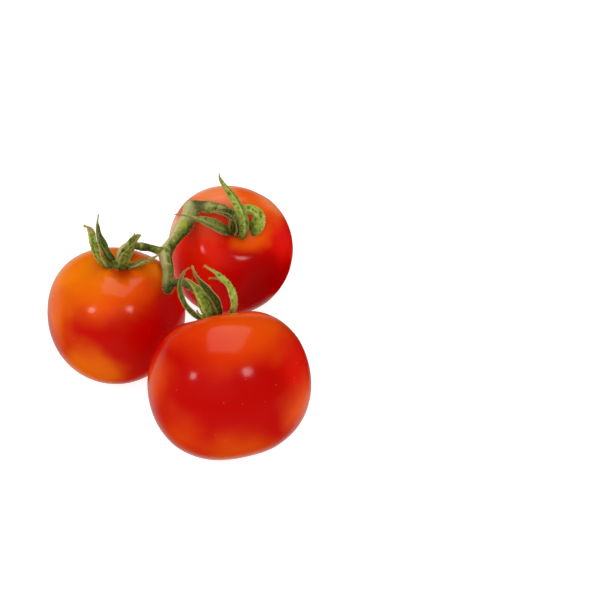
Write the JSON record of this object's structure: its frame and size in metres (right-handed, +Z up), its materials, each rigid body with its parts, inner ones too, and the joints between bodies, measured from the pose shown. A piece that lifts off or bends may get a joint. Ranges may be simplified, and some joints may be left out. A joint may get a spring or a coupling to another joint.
{
  "type": "truss of tomatoes",
  "caption": "Vine truss of ripe red tomatoes lying on a surface, with green calyxes joined by a branched stem.",
  "frame": {"origin": "on the surface the truss lies on, under the middle of its bounding box", "axes": "+Z up, away from the surface; +Y along the row from the fruit nearest the viewer to the farthest; +X to the viewer's right"},
  "size_m": [0.1074, 0.1499, 0.0739],
  "materials": {
    "tomato_skin": "glossy ripe tomato skin, red with orange shoulders",
    "sepal": "soft hairy green leaf",
    "vine_stem": "hairy pale green vine stem"
  },
  "bodies": {
    "root": {"fruit_front": "tomato_skin", "fruit_left": "tomato_skin", "fruit_back": "tomato_skin", "calyx_front": "sepal", "calyx_left": "sepal", "calyx_back": "sepal", "stem": "vine_stem"}
  },
  "joints": []
}
